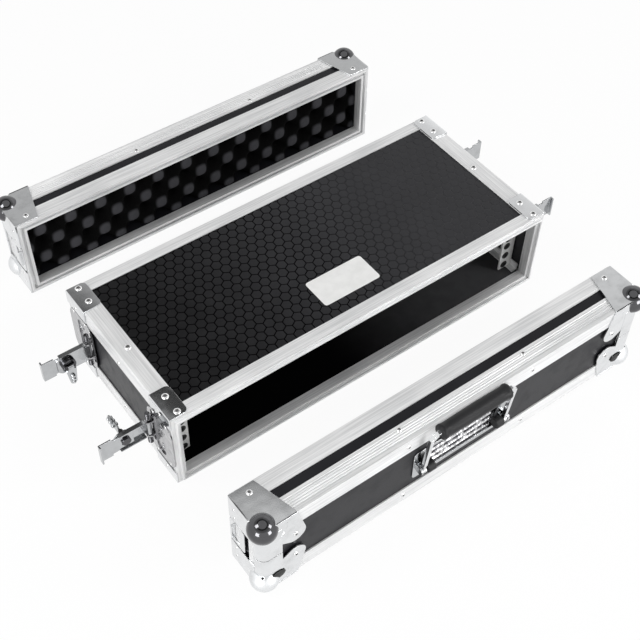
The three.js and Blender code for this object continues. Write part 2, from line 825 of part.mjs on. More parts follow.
function addBody() {
  const body = new THREE.Group();
  body.position.z = baseHeight;
  rackCase.add(body);

  const reachY = halfDepth - closingWeb - fit;
  const across = halfWidth - frameBand - fit;
  const topHigh = [caseHeight - panelInner, caseHeight - skinDepth];
  const topPanel = block([-across, across], [-reachY, reachY], topHigh);
  const bottomPanel = block([-across, across], [-reachY, reachY], [skinDepth, panelInner]);
  piece(body, 'top_panel', topPanel, 'laminate');
  piece(body, 'bottom_panel', bottomPanel, 'laminate');
  const endHigh = [frameBand + fit, caseHeight - frameBand - fit];
  const endPanel = block([halfWidth - panelInner, halfWidth - skinDepth], [-reachY, reachY], endHigh);
  piece(body, 'right_end_panel', endPanel, 'laminate');
  piece(body, 'left_end_panel', mirrored(endPanel, 'x'), 'laminate');

  const frame = bodyClosingFrame().translate(0, -halfDepth, caseHeight / 2);
  piece(body, 'front_closing_frame', frame, 'aluminium');
  piece(body, 'rear_closing_frame', mirrored(frame, 'y'), 'aluminium');

  const topRight = edgeAngle();
  const bottomRight = mirrored(topRight, 'z').translate(0, 0, caseHeight);
  piece(body, 'top_right_edge_angle', topRight, 'aluminium');
  piece(body, 'top_left_edge_angle', mirrored(topRight, 'x'), 'aluminium');
  piece(body, 'bottom_right_edge_angle', bottomRight, 'aluminium');
  piece(body, 'bottom_left_edge_angle', mirrored(bottomRight, 'x'), 'aluminium');

  const rail = rackRail();
  piece(body, 'front_right_rack_rail', rail, 'zinc');
  piece(body, 'front_left_rack_rail', mirrored(rail, 'x'), 'zinc');
  piece(body, 'rear_right_rack_rail', mirrored(rail, 'y'), 'zinc');
  piece(body, 'rear_left_rack_rail', mirrored(mirrored(rail, 'x'), 'y'), 'zinc');
}

// One latch. The turn places the drawn rear right latch at its own corner of the body.
// A raised wing stands square to its cam, and the cam's turn is counted from the lid's side.
function addLatch(name, side, end, turn, camTurn, raised) {
  const latch = new THREE.Group();
  const hinge = [side * (halfWidth + hingeOut), end * (halfDepth - hingeInset)];
  latch.position.set(...hinge, baseHeight + caseHeight / 2);
  latch.rotation.set(...turn);
  rackCase.add(latch);
  piece(latch, `${name}_latch_dish`, latchDish(), 'chrome');

  const swing = new THREE.Group();
  swing.rotation.z = -Math.PI / 2;
  latch.add(swing);
  piece(swing, `${name}_latch_arm`, latchArm(), 'chrome');
  const hook = piece(swing, `${name}_latch_hook`, latchHook(), 'chrome');
  hook.position.y = -hookTravel * Math.abs(camTurn) / Math.PI;

  const cam = new THREE.Group();
  cam.position.y = camAt;
  cam.rotation.x = camTurn;
  swing.add(cam);
  piece(cam, `${name}_latch_cam`, latchCam(), 'chrome');
  const fold = new THREE.Group();
  fold.position.x = bossOut + foldOut;
  fold.rotation.z = raised ? -Math.PI / 2 : 0;
  cam.add(fold);
  piece(fold, `${name}_latch_wing`, latchWing(), 'chrome');
}

function addLatches() {
  const quarter = Math.PI / 2;
  addLatch('front_left', -1, -1, [0, 0, Math.PI], 0, true);
  addLatch('front_right', 1, -1, [Math.PI, 0, 0], 0, true);
  addLatch('rear_left', -1, 1, [0, Math.PI, 0], quarter, false);
  addLatch('rear_right', 1, 1, [0, 0, 0], -quarter, false);
}

function addLid(name, sides, hasHandle, place, turn) {
  const lid = new THREE.Group();
  lid.position.set(0, place, baseHeight);
  lid.rotation.z = turn;
  rackCase.add(lid);
  piece(lid, `${name}_lid_face_panel`, lidFacePanel(hasHandle), 'laminate');
  piece(lid, `${name}_lid_walls`, lidWalls(), 'laminate');
  piece(lid, `${name}_lid_closing_frame`, lidClosingFrame(), 'aluminium');
  piece(lid, `${name}_lid_outer_frame`, lidOuterFrame(), 'aluminium');
  piece(lid, `${name}_lid_foam`, lidFoam(), 'foam');

  const top = ballCorner();
  const bottom = mirrored(top, 'z').translate(0, 0, caseHeight);
  piece(lid, `${name}_lid_corner_top_${sides[0]}`, top, 'chrome');
  piece(lid, `${name}_lid_corner_top_${sides[1]}`, mirrored(top, 'x'), 'chrome');
  piece(lid, `${name}_lid_corner_bottom_${sides[0]}`, bottom, 'chrome');
  piece(lid, `${name}_lid_corner_bottom_${sides[1]}`, mirrored(bottom, 'x'), 'chrome');

  const strike = strikePlate().translate(halfWidth, 0, caseHeight / 2);
  piece(lid, `${name}_lid_strike_${sides[0]}`, strike, 'chrome');
  piece(lid, `${name}_lid_strike_${sides[1]}`, mirrored(strike, 'x'), 'chrome');
  return lid;
}

function addHandle(lid) {
  piece(lid, 'handle_dish', handleDish(), 'chrome');
  const bail = new THREE.Group();
  bail.position.set(0, lidDepth + pivotStandoff, handlePivotZ);
  bail.rotation.x = -handleTilt;
  lid.add(bail);
  piece(bail, 'handle_bail', handleBail(), 'chrome');
  piece(bail, 'handle_grip', handleGrip(), 'rubber');
}

addBody();
addLatches();
addLid('rear', ['right', 'left'], false, halfDepth + rearGap, 0);
addHandle(addLid('front', ['left', 'right'], true, -halfDepth - frontGap, Math.PI));

export default rackCase;
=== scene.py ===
"""The looks of a two-unit 19 inch rack case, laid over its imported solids.

Metres, +Z up. X runs along the case and Y from the front lid to the rear lid. The body stands
between its two lids, which are off, and the four latches are swung open.
"""
import math

import bmesh
import bpy
import numpy as np
from mathutils import Matrix, Vector


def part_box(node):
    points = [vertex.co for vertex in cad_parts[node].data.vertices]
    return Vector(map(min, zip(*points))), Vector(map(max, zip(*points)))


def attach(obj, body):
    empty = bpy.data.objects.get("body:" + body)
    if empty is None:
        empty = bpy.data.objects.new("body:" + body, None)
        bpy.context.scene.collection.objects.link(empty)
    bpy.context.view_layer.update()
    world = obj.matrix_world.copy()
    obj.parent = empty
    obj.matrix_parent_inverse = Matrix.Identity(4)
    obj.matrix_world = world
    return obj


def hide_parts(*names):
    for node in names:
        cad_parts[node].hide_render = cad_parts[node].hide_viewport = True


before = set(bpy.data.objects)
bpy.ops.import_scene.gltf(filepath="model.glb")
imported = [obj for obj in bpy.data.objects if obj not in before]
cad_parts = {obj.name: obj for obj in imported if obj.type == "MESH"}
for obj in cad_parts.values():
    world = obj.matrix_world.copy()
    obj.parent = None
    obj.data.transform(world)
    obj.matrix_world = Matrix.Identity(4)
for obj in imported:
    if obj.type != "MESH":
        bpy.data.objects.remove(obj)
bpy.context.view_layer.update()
mm = 0.001


# The studio. A white floor without a seam, two high and two low square lamps round the camera, a
# large screen on the right, and a long lens that looks down over the front left corner.
image_width = 640
focal_pixels = 1158.6
film_width = 36.0
camera_place = np.array([-547.4, -734.0, 1065.9]) * mm
camera_azimuth, camera_fall, camera_roll = np.radians([37.31, 49.46, 1.28])


def look(azimuth, fall, roll):
    """Right, up and back of a camera that looks azimuth east of +Y and falls below the horizon.

    Right lies level, up is right cross forward, and the roll turns both about the line of sight.
    """
    forward = np.array([
        math.sin(azimuth) * math.cos(fall), math.cos(azimuth) * math.cos(fall), -math.sin(fall)])
    level = np.array([math.cos(azimuth), -math.sin(azimuth), 0])
    upright = np.cross(level, forward)
    right = math.cos(roll) * level + math.sin(roll) * upright
    up = math.cos(roll) * upright - math.sin(roll) * level
    return right, up, -forward


camera_data = bpy.data.cameras.new("camera")
camera_data.sensor_width = film_width
camera_data.lens = focal_pixels / image_width * film_width
camera = bpy.data.objects.new("camera", camera_data)
axes = np.column_stack([*look(camera_azimuth, camera_fall, camera_roll), camera_place])
camera.matrix_world = Matrix([*axes.tolist(), [0, 0, 0, 1]])
bpy.context.scene.collection.objects.link(camera)
bpy.context.scene.camera = camera
bpy.context.scene.view_settings.view_transform = "Standard"


class Field:
    """A value that changes over a surface. Sums and products of fields add Math nodes."""

    def __init__(self, tree, socket):
        self.tree, self.socket = tree, socket

    def node(self, kind, settings=None, inputs=None, output=0):
        """One node of a kind: first its settings, then the values or links of its sockets."""
        made = self.tree.nodes.new(kind)
        for key, value in (settings or {}).items():
            setattr(made, key, value)
        for key, value in (inputs or {}).items():
            if isinstance(value, Field):
                self.tree.links.new(value.socket, made.inputs[key])
            else:
                made.inputs[key].default_value = value
        return Field(self.tree, made.outputs[output])

    def maths(self, operation, first, second):
        return self.node("ShaderNodeMath", {"operation": operation}, {0: first, 1: second})

    def __add__(self, other):
        return self.maths("ADD", self, other)

    def __sub__(self, other):
        return self.maths("SUBTRACT", self, other)

    def __rsub__(self, other):
        return self.maths("SUBTRACT", other, self)

    def __mul__(self, other):
        return self.maths("MULTIPLY", self, other)

    __radd__, __rmul__ = __add__, __mul__

    def eased(self, low, high):
        """0 below low and 1 above high, with a soft S between them."""
        return self.node(
            "ShaderNodeMapRange", {"interpolation_type": "SMOOTHSTEP"},
            {"Value": self, "From Min": low, "From Max": high})

    def between(self, first, second):
        """The colour that lies between two colours, the first at 0 and the second at 1."""
        return self.node(
            "ShaderNodeMix", {"data_type": "RGBA"}, {0: self, 6: (*first, 1), 7: (*second, 1)}, 2)

    def part(self, axis):
        """One of the three parts of a vector field."""
        return self.node("ShaderNodeSeparateXYZ", None, {0: self}, "XYZ".index(axis))

    def noise(self, scale, detail=3.0, stretch=(1, 1, 1)):
        """Soft noise with its grains drawn out where the stretch is small."""
        placed = self.node("ShaderNodeMapping", None, {"Vector": self, "Scale": stretch})
        return self.node(
            "ShaderNodeTexNoise", None, {"Vector": placed, "Scale": scale, "Detail": detail})


lamp_side, lamp_watts = 0.68, 11.5
lamp_places = [(-1.24, 0.22, 1.55), (1.06, -1.22, 1.17), (-1.72, -0.87, 0.42), (0.33, -1.90, 0.42)]
for number, place in enumerate(lamp_places):
    lamp_data = bpy.data.lights.new(f"lamp_{number}", "AREA")
    lamp_data.size, lamp_data.energy = lamp_side, lamp_watts
    lamp = bpy.data.objects.new(f"lamp_{number}", lamp_data)
    lamp.location = place
    lamp.rotation_euler = Vector(place).to_track_quat("Z", "Y").to_euler()
    bpy.context.scene.collection.objects.link(lamp)

screen_side, screen_watts, screen_place = 1.6, 2.0, np.array([1.9, 0.9, 1.5])
screen_data = bpy.data.lights.new("screen", "AREA")
screen_data.size, screen_data.energy = screen_side, screen_watts
screen = bpy.data.objects.new("screen", screen_data)
toward = screen_place / np.linalg.norm(screen_place)
aside = np.cross([0, 0, 1], toward) / np.linalg.norm(np.cross([0, 0, 1], toward))
screen_axes = np.column_stack([aside, np.cross(toward, aside), toward, screen_place])
screen.matrix_world = Matrix([*screen_axes.tolist(), [0, 0, 0, 1]])
bpy.context.scene.collection.objects.link(screen)

# The room seen in the metal, by degrees of height: white below 27, half as bright at 40, dark from
# 52 to 56 with a little light on the right, and a bright ceiling above 60. The camera sees plain
# white, and the light from all round is an even grey.
room_light, wall_dark, wall_low, ceiling_light, right_light = 0.46, 0.04, 0.50, 0.85, 0.10
world = bpy.data.worlds.new("room")
world.use_nodes = True
bpy.context.scene.world = world
sky = Field(world.node_tree, world.node_tree.nodes.new("ShaderNodeTexCoord").outputs["Generated"])
rise = sky.part("Z")
above = (wall_dark + ceiling_light * rise.eased(0.83, 0.87)
         + right_light * sky.part("X").eased(0.32, 0.46))
around = 1 - (1 - wall_low) * rise.eased(0.45, 0.62)
room = around + rise.eased(0.70, 0.79) * (above - around)
world_paths = world.node_tree.nodes.new("ShaderNodeLightPath").outputs
seen = Field(world.node_tree, world_paths["Is Camera Ray"])
glossy = Field(world.node_tree, world_paths["Is Glossy Ray"])
level = room_light + glossy * (room - room_light) + seen * (1 - room_light)
world.node_tree.links.new(level.socket, world.node_tree.nodes["Background"].inputs["Strength"])
world.node_tree.nodes["Background"].inputs["Color"].default_value = (1, 1, 1, 1)

floor_half, floor_glow, floor_mirrored = 5.0, 0.94, 0.85
floor_mesh = bpy.data.meshes.new("floor")
floor_mesh.from_pydata(
    [(x, y, 0) for x, y in [(-1, -1), (1, -1), (1, 1), (-1, 1)]], [], [(0, 1, 2, 3)])
floor_mesh.transform(Matrix.Scale(floor_half, 4))
floor = bpy.data.objects.new("floor", floor_mesh)
bpy.context.scene.collection.objects.link(floor)
floor_finish = bpy.data.materials.new("studio_floor")
floor_finish.use_nodes = True
floor_tree = floor_finish.node_tree
paths = floor_tree.nodes.new("ShaderNodeLightPath").outputs
mirrored = floor_mirrored * Field(floor_tree, paths["Is Glossy Ray"])
shown = Field(floor_tree, paths["Is Camera Ray"]) + mirrored
shown = shown + Field(floor_tree, paths["Is Transmission Ray"])
matt = shown.node("ShaderNodeBsdfDiffuse", None, {"Color": (0.88, 0.88, 0.88, 1)})
glow = shown.node("ShaderNodeEmission", None, {"Color": (1, 1, 1, 1)})
mixed = shown.node("ShaderNodeMixShader", None, {0: shown * floor_glow, 1: matt, 2: glow})
floor_tree.links.new(mixed.socket, floor_tree.nodes["Material Output"].inputs["Surface"])
floor_mesh.materials.append(floor_finish)


# Laminated boards. Birch plywood faced with black plastic laminate, embossed with a honeycomb
# on the two large faces, cut to size and slid into the extrusions.
half_width, half_height, half_depth = 256 * mm, 55.5 * mm, 109 * mm
middle = 60.5 * mm
cell_pitch, cell_groove, cell_slope, cell_deep = 12.05 * mm, 1.3 * mm, 0.2 * mm, 0.4 * mm
cell_sunk, cell_reach = 0.1 * mm, 0.6 * cell_pitch
cell_origin = np.array([-227.2, -89.2]) * mm


def surface(name, colour, roughness, metallic=0.0, **sockets):
    """A material with one shader whose plain sockets are set, and its Object coordinates."""
    made = bpy.data.materials.new(name)
    made.use_nodes = True
    shader = made.node_tree.nodes["Principled BSDF"]
    shader.inputs["Base Color"].default_value = (*colour, 1)
    shader.inputs["Roughness"].default_value = roughness
    shader.inputs["Metallic"].default_value = metallic
    for key, value in sockets.items():
        shader.inputs[key.replace("_", " ").title().replace("Ior", "IOR")].default_value = value
    place = made.node_tree.nodes.new("ShaderNodeTexCoord").outputs["Object"]
    return made, Field(made.node_tree, place)


def feed(made, **fields):
    """Joins fields to the shader: base_color, roughness, or height with its depth in metres."""
    shader = made.node_tree.nodes["Principled BSDF"]
    for key, field in fields.items():
        if key == "height":
            field, depth = field
            field = field.node("ShaderNodeBump", None, {"Height": field, "Distance": depth})
            key = "normal"
        made.node_tree.links.new(field.socket, shader.inputs[key.replace("_", " ").title()])
    return made


def laminate(name, dark, light, roughness, gloss=0.24, right_sheen=0.0):
    """Black laminate: a fine leathery grain, faint clouds of tone and rubbed patches.

    A share of painted sheen, standing in for the glare along the board, makes it greyer towards the
    right end.
    """
    made, place = surface(name, dark, roughness, Specular_Ior_Level=gloss)
    clouds = place.noise(14, 4)
    grain = place.noise(1900, 2)
    rubbed = place.noise(55, 5).eased(0.45, 0.75)
    tone = (clouds * 0.6 + grain * 0.4).eased(0.35, 0.7) * (1 - right_sheen)
    # Painted sheen: the colour is made greyer towards the right end, where the board catches the
    # glare.
    painted_sheen = place.part("X").eased(-250 * mm, 100 * mm) * right_sheen
    return feed(
        made,
        base_color=(tone + painted_sheen).between(dark, light),
        roughness=roughness + 0.10 * rubbed + 0.08 * (grain - 0.5),
        height=(grain, 0.05 * mm))


board_black = laminate("board_laminate", (0.008, 0.008, 0.010), (0.015, 0.015, 0.018), 0.36, 0.2)
# The embossed faces carry a strong painted sheen towards their right end.
cell_black = laminate(
    "embossed_laminate", (0.0015, 0.0015, 0.002), (0.027, 0.027, 0.030), 0.30, right_sheen=0.82)
# Painted shade: the grooves between the cells are coloured nearly black for the shade that lies in
# them, and a painted sheen greys them towards the right end.
groove_painted_shade, groove_place = surface(
    "emboss_groove_painted_shade", (0.001, 0.001, 0.001), 0.8, Specular_Ior_Level=0.02)
groove_sheen = groove_place.part("X").eased(-30 * mm, 190 * mm) * (0.7 + 0.6 * groove_place.noise(60, 4))
feed(groove_painted_shade, base_color=groove_sheen.between((0.0008, 0.0008, 0.001), (0.060, 0.060, 0.063)))


def swept(rings, closed=False):
    """A skin over a grid of points, each row a closed outline and each row joined to the next.

    The first and last rows are capped, or joined to each other where the sweep closes.
    """
    count, around = rings.shape[:2]
    row = np.arange(count if closed else count - 1)[:, None]
    here = np.arange(around)[None]
    after, onward = (here + 1) % around, (row + 1) % count
    quads = np.stack([
        row * around + here, row * around + after,
        onward * around + after, onward * around + here], -1)
    faces = quads.reshape(-1, 4).tolist()
    if not closed:
        faces += [list(range(around)), list(range((count - 1) * around, count * around))]
    return rings.reshape(-1, 3), faces


def prism(axis, outline, ends):
    """An outline in the other two axes, carried straight along an axis between its ends."""
    column = "xyz".index(axis)
    return swept(np.stack([np.insert(outline, column, end, axis=1) for end in ends]))


merge_made, merge_packed = 1e-6, 4e-6
bevel_from, flat_within = math.radians(46), math.radians(1)


def piece(name, parts, finish, body, smooth=32, ease=0.0, stands_for=(), which=None):
    """One piece made of closed parts, riding on a body, with its edges eased by a bevel.

    Faces are shaded smooth up to an angle in degrees. Where there are several finishes, which
    says the finish of each face.
    """
    starts = np.cumsum([0] + [len(points) for points, _ in parts])
    points = np.concatenate([points for points, _ in parts])
    faces = [[start + v for v in face] for start, (_, part) in zip(starts, parts) for face in part]
    mesh = bpy.data.meshes.new(name)
    mesh.from_pydata(points, [], faces)
    for each in finish if isinstance(finish, (list, tuple)) else [finish]:
        mesh.materials.append(each)
    if which is not None:
        mesh.polygons.foreach_set("material_index", np.asarray(which, np.int32))
    work = bmesh.new()
    work.from_mesh(mesh)
    bmesh.ops.remove_doubles(work, verts=work.verts, dist=merge_made)
    bmesh.ops.recalc_face_normals(work, faces=work.faces)
    work.to_mesh(mesh)
    work.free()
    return fitted(bpy.data.objects.new(name, mesh), body, smooth, ease, stands_for)


def fitted(made, body, smooth, ease, stands_for):
    """Links a piece to the scene, eases its edges and fixes it to its body."""
    bpy.context.scene.collection.objects.link(made)
    made.data.shade_smooth()
    made.data.set_sharp_from_angle(angle=math.radians(smooth))
    if ease:
        bevel = made.modifiers.new("eased edges", "BEVEL")
        bevel.limit_method, bevel.angle_limit = "ANGLE", bevel_from
        bevel.width, bevel.segments, bevel.harden_normals = ease, 2, True
    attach(made, body)
    if stands_for:
        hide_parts(*stands_for)
    return made


def honeycomb(low, high, face, inward):
    """Raised six-sided cells in staggered rows, their points along Y, over a rectangle.

    Cell (i, j) stands at the origin plus pitch (i + half of j's oddness, j sine 60). Each is a
    closed pad: a wide foot below the groove, and a top drawn in by the slope of its sides.
    """
    row_pitch = cell_pitch * math.sin(math.pi / 3)
    columns, rows = np.arange(-3, 43), np.arange(-3, 22)
    i, j = np.meshgrid(columns, rows, indexing="ij")
    centres = cell_origin + np.stack([cell_pitch * (i + (j % 2) / 2), row_pitch * j], -1)
    centres = centres.reshape(-1, 2)
    inside = (centres > np.array(low) + cell_reach) & (centres < np.array(high) - cell_reach)
    centres = centres[np.all(inside, axis=1)]
    turn = np.radians(30 + 60 * np.arange(6))
    six = np.stack([np.cos(turn), np.sin(turn)], -1) / math.sqrt(3)
    foot, top = cell_pitch - cell_groove + cell_slope, cell_pitch - cell_groove - cell_slope
    heights = [face + inward * (cell_deep + cell_sunk), face]
    rings = np.stack([
        np.dstack([centres[:, None, :] + six * size, np.full((len(centres), 6, 1), height)])
        for size, height in zip((foot, top), heights)], axis=1)
    return [swept(ring) for ring in rings]


for board, inward in (("top_panel", -1), ("bottom_panel", 1)):
    low, high = (np.array(corner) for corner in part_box(board))
    face, back = (high[2], low[2]) if inward < 0 else (low[2], high[2])
    outline = np.array([(low[0], low[1]), (high[0], low[1]), (high[0], high[1]), (low[0], high[1])])
    base = prism("z", outline, (back, face + inward * cell_deep))
    pads = honeycomb(low[:2], high[:2], face, inward)
    which = [0] * len(base[1]) + [1] * sum(len(faces) for _, faces in pads)
    piece(f"embossed_{board}", [base, *pads], [groove_painted_shade, cell_black], "case_body",
          smooth=20, stands_for=[board], which=which)

for board in ("left_end_panel", "right_end_panel"):
    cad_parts[board].data.materials.clear()
    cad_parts[board].data.materials.append(board_black)


# Extrusions of the body. Satin aluminium: a closing frame with a tongue at each open side,
# mitred at its corners, and four double angles along the edges, riveted to the boards.
wall, board_slot, band = 1.5 * mm, 7.6 * mm, 10.6 * mm
closing_flange, inner_flange, web = 15 * mm, 12 * mm, 2 * mm
angle_leg, inner_leg, angle_round = 22 * mm, 8 * mm, 2 * mm
play = 0.3 * mm


def aluminium(name, stretch):
    """Satin anodised aluminium, with fine die lines that run the way the bar was drawn."""
    made, place = surface(name, (0.80, 0.80, 0.81), 0.4, 0.42)
    lines = place.noise(1, 5, stretch)
    clouds = place.noise(9, 4)
    smudge = place.noise(38, 6).eased(0.5, 0.8)
    return feed(
        made,
        base_color=(lines * 0.65 + clouds * 0.35).eased(0.3, 0.7).between(
            (0.62, 0.625, 0.63), (0.90, 0.90, 0.90)),
        roughness=0.34 + 0.16 * lines + 0.10 * smudge,
        height=(lines, 0.03 * mm))


drawn_x = aluminium("aluminium_drawn_along_x", (14, 700, 700))
drawn_y = aluminium("aluminium_drawn_along_y", (700, 14, 700))
drawn_z = aluminium("aluminium_drawn_along_z", (700, 700, 14))


def eased(outline, radius, steps=3):
    """A closed outline with its corners rounded, by a curve that is square in its step.

    The curve leaves and meets the two sides a radius from the corner c, at points a and b:
    (1 - t)(1 - t) a + 2 t (1 - t) c + t t b. On short sides the radius is at most 0.45 of them.
    """
    corner = np.asarray(outline, float)
    before, after = np.roll(corner, 1, axis=0) - corner, np.roll(corner, -1, axis=0) - corner
    long_before, long_after = (np.linalg.norm(side, axis=1) for side in (before, after))
    cut = np.minimum(np.broadcast_to(radius, len(corner)), 0.45 * np.minimum(long_before, long_after))
    a = corner + before * (cut / long_before)[:, None]
    b = corner + after * (cut / long_after)[:, None]
    t = np.linspace(0, 1, steps + 1)[None, :, None]
    curve = (1 - t) ** 2 * a[:, None] + 2 * t * (1 - t) * corner[:, None] + t ** 2 * b[:, None]
    return curve.reshape(-1, 2)


def mitred(section, plane, inward):
    """A section carried round the case's outline and mitred at its corners.

    A section point of inset i and depth d goes, at each corner, to a half width and a half
    height less i, and to the closing plane plus d inwards.
    """
    corners = np.array([(1, -1), (1, 1), (-1, 1), (-1, -1)])
    inset, depth = section[:, 0], section[:, 1]
    x = corners[:, :1] * (half_width - inset)
    z = middle + corners[:, 1:] * (half_height - inset)
    y = np.broadcast_to(plane + inward * depth, x.shape)
    return swept(np.stack([x, y, z], -1), closed=True)


def closing_frame(name, section, plane, inward, body):
    """A mitred frame whose level members are drawn along X and whose upright ones along Z."""
    form = mitred(eased(section, 0.5 * mm, 2), plane, inward)
    uprights = np.repeat([1, 0, 1, 0], len(form[1]) // 4)
    piece(f"mitred_{name}", [form], [drawn_x, drawn_z], body, smooth=50,
          stands_for=[name], which=uprights)


tongue_from, tongue_to, tongue_high, tongue_tip = 4.2 * mm, 6.6 * mm, 4 * mm, 0.7 * mm
tongue_section = [
    (0, 0), (0, closing_flange), (wall, closing_flange), (wall, web), (wall + board_slot, web),
    (wall + board_slot, inner_flange), (band, inner_flange), (band, 0), (tongue_to, 0),
    (tongue_to, tongue_tip - tongue_high), (tongue_to - tongue_tip, -tongue_high),
    (tongue_from + tongue_tip, -tongue_high), (tongue_from, tongue_tip - tongue_high),
    (tongue_from, 0)]
closing_frame("front_closing_frame", tongue_section, -half_depth, 1, "case_body")
closing_frame("rear_closing_frame", tongue_section, half_depth, -1, "case_body")

inner_corner = wall + board_slot
angle_section = [
    (0, 0), (angle_leg, 0), (angle_leg, wall), (band, wall), (band, inner_corner),
    (band + inner_leg, inner_corner), (band + inner_leg, band), (band, band),
    (band, band + inner_leg), (inner_corner, band + inner_leg), (inner_corner, band),
    (wall, band), (wall, angle_leg), (0, angle_leg)]
corner_round = np.array([angle_round] + [0.4 * mm] * (len(angle_section) - 1))
angle_outline = eased(angle_section, corner_round, 4)
angle_end = half_depth - closing_flange - play
for side, east in (("left", -1), ("right", 1)):
    for level, up in (("top", 1), ("bottom", -1)):
        placed = (np.array([half_width, half_height]) - angle_outline) * [east, up] + [0, middle]
        node = f"{level}_{side}_edge_angle"
        piece(f"drawn_{node}", [prism("y", placed, (-angle_end, angle_end))], drawn_y,
              "case_body", smooth=50, stands_for=[node])


# Corner braces. Pressed and plated steel angles over the ends of each edge, with two rivets on
# the flat and one on the side. Their free corners are rounded and the bend is tight.
brace_long, brace_wide, brace_down, brace_round, brace_bend = (
    41 * mm, 22 * mm, 16 * mm, 6 * mm, 1.7 * mm)
brace_inset, plate_skin = 0.8 * mm, 1.8 * mm


def plated(name, colour, roughness, wear, metallic=1.0, wave_scale=26, wave_high=0.15 * mm):
    """Bright plated steel: nearly mirror smooth, with faint rolling waves and finger marks."""
    made, place = surface(name, colour, roughness, metallic)
    marks = place.noise(60, 6).eased(0.42, 0.8)
    waves = place.noise(wave_scale, 2)
    fine = place.noise(700, 3)
    dull = tuple(0.86 * part for part in colour)
    return feed(
        made,
        base_color=marks.between(colour, dull),
        roughness=roughness + wear * marks + 0.05 * (fine - 0.5),
        height=(waves * 0.96 + fine * 0.04, wave_high))


chrome = plated("chrome_plate", (0.78, 0.79, 0.80), 0.10, 0.10)
rivet_nickel = plated("rivet_nickel", (0.86, 0.86, 0.86), 0.24, 0.10)
# Painted shade: the rivets' hollows are coloured dark for the shade in the stem's hole.
rivet_hollow_shade = plated("rivet_hollow_shade", (0.26, 0.26, 0.26), 0.4, 0.1)


def brace(east, north, up):
    """An angle section carried along Y, with the flat's free edge drawn back at both ends.

    Within a round of either end the edge is set back by r less the root of r r minus (r - e)
    squared, where e is the distance to that end.
    """
    along = np.concatenate([
        brace_round * (1 - np.cos(np.linspace(0, math.pi / 2, 7))),
        brace_long - brace_inset - brace_round * (1 - np.sin(np.linspace(0, math.pi / 2, 7)))])
    full = brace_long - brace_inset
    to_end = np.minimum(np.minimum(along, full - along), brace_round)
    back = brace_round - np.sqrt(brace_round ** 2 - (brace_round - to_end) ** 2)
    edge = half_width - brace_wide + back
    turn = np.linspace(0, math.pi / 2, 6)
    bend = np.stack([
        half_width + plate_skin - brace_bend * (1 - np.cos(turn)),
        half_height + plate_skin - brace_bend * (1 - np.sin(turn))], -1)
    low = half_height - brace_down
    fixed = np.array([
        (half_width + play, half_height + play), (half_width + play, low),
        (half_width + plate_skin, low), *bend])
    rings = np.empty((len(along), len(fixed) + 2, 3))
    rings[:, 1:-1, 0], rings[:, 1:-1, 2] = fixed[:, 0], fixed[:, 1]
    rings[:, 0, 0], rings[:, 0, 2] = edge, half_height + play
    rings[:, -1, 0], rings[:, -1, 2] = edge, half_height + plate_skin
    rings[:, :, 1] = (half_depth - brace_long + along)[:, None]
    points, faces = swept(rings)
    return points * [east, north, up] + [0, 0, middle], faces


signs = [(east, north, up) for east in (-1, 1) for north in (-1, 1) for up in (-1, 1)]
piece("corner_braces", [brace(*sign) for sign in signs], chrome, "case_body",
      smooth=40, ease=0.3 * mm)


# Rivets. Aluminium pop rivets with a low domed head and the hollow end of their stem, through
# the plates and extrusions into the boards.
rivet_radius, small_rivet, rivet_sides = 4.0 * mm, 2.6 * mm, 24
brace_rivet_inset, brace_rivets_at, side_rivet_at, side_rivet_down = (
    11.5 * mm, (79.5 * mm, 102.5 * mm), 88 * mm, 9 * mm)
angle_rivet_inset, end_rivet_down, end_rivet_off = 14 * mm, 15.5 * mm, 1 * mm


def turned(profile, sides=rivet_sides):
    """A profile of radius and height turned once about Z, and closed at its poles."""
    turn = np.linspace(0, 2 * math.pi, sides, endpoint=False)
    radius, height = np.array(profile).T
    ring = np.stack([np.cos(turn), np.sin(turn)], -1)
    levels = np.broadcast_to(height[:, None, None], (len(radius), sides, 1))
    return swept(np.concatenate([radius[:, None, None] * ring, levels], -1))


def aimed(form, place, axis):
    """A form that was made about Z, turned to an axis and moved to its place."""
    points, faces = form
    along = np.asarray(axis, float) / np.linalg.norm(axis)
    across = np.cross(along, [0, 1, 0] if abs(along[1]) < 0.9 else [1, 0, 0])
    across /= np.linalg.norm(across)
    return points @ np.stack([across, np.cross(along, across), along]) + np.asarray(place), faces


def rivet(place, axis, radius):
    """A pop rivet's head: a dome that rises to a lip at half its radius, round a hollow."""
    shares = [(0, -0.10), (0.96, -0.10), (1.0, 0.02), (0.93, 0.13), (0.74, 0.25), (0.54, 0.32),
              (0.46, 0.31), (0.40, 0.05), (0, 0.03)]
    return aimed(turned(np.array(shares) * radius), place, axis)


def riveted(name, heads, body):
    """A piece of many rivet heads: nickel bright, with their hollows coloured dark grey as painted
    shade.

    A head's faces come in eight bands, the last two of them its hollow, and two caps.
    """
    bands = np.array([0] * 6 + [1] * 2)
    which = np.tile(np.concatenate([np.repeat(bands, rivet_sides), [0, 1]]), len(heads))
    return piece(name, heads, [rivet_nickel, rivet_hollow_shade], body, smooth=40, which=which)


